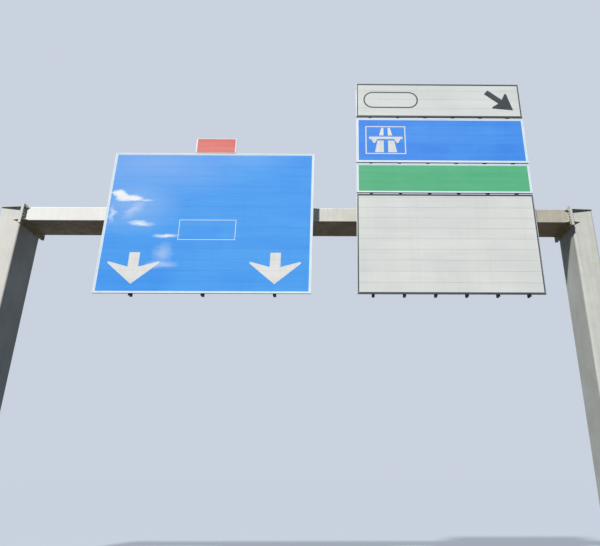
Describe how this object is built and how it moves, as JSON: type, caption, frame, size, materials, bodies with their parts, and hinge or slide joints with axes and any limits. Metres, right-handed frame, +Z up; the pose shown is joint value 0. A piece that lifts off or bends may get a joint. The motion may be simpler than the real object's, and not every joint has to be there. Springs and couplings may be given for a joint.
{
  "type": "overhead road sign gantry",
  "caption": "Steel portal of box posts and a box beam over a carriageway, with plank-built direction signs on rails clamped to the beam.",
  "frame": {"origin": "on the ground, at the middle of the whole gantry's box", "axes": "+X across the carriageway to the right of a driver who reads the signs, +Y along the carriageway away from that driver, +Z up"},
  "size_m": [14.56, 1.36, 11.35],
  "materials": {
    "galvanised_steel": "hot-dip galvanised, weathered to a dull pale grey",
    "rail_steel": "hot-dip galvanised, dark and matt",
    "mill_aluminium": "mill finish, slightly dulled",
    "blue_film": "blue reflective film on extruded planks",
    "green_film": "green reflective film on extruded planks",
    "white_film": "white reflective film on extruded planks",
    "red_film": "faded red reflective film on folded sheet",
    "black_film": "black film, matt",
    "bolt_steel": "galvanised bolts and nuts"
  },
  "bodies": {
    "root": {"left_base_plate": "galvanised_steel", "left_foot_ribs": "galvanised_steel", "left_post": "galvanised_steel", "left_post_cap": "galvanised_steel", "left_post_flange": "galvanised_steel", "left_beam_flange": "galvanised_steel", "left_flange_gussets": "galvanised_steel", "right_base_plate": "galvanised_steel", "right_foot_ribs": "galvanised_steel", "right_post": "galvanised_steel", "right_post_cap": "galvanised_steel", "right_post_flange": "galvanised_steel", "right_beam_flange": "galvanised_steel", "right_flange_gussets": "galvanised_steel", "beam": "galvanised_steel", "lane_sign_rail_1": "rail_steel", "lane_sign_rail_2": "rail_steel", "lane_sign_rail_3": "rail_steel", "lane_sign_clamp_1": "rail_steel", "lane_sign_clamp_2": "rail_steel", "lane_sign_clamp_3": "rail_steel", "stack_rail_1": "rail_steel", "stack_rail_2": "rail_steel", "stack_rail_3": "rail_steel", "stack_rail_4": "rail_steel", "stack_rail_5": "rail_steel", "stack_rail_6": "rail_steel", "stack_clamp_1": "rail_steel", "stack_clamp_2": "rail_steel", "stack_clamp_3": "rail_steel", "stack_clamp_4": "rail_steel", "stack_clamp_5": "rail_steel", "stack_clamp_6": "rail_steel", "lane_sign_planks": "blue_film", "lane_sign_edging": "mill_aluminium", "route_plate": "red_film", "local_sign_planks": "white_film", "local_sign_edging": "mill_aluminium", "green_sign_planks": "green_film", "green_sign_edging": "mill_aluminium", "motorway_sign_planks": "blue_film", "motorway_sign_edging": "mill_aluminium", "exit_sign_planks": "white_film", "exit_sign_edging": "mill_aluminium"}
  },
  "joints": []
}
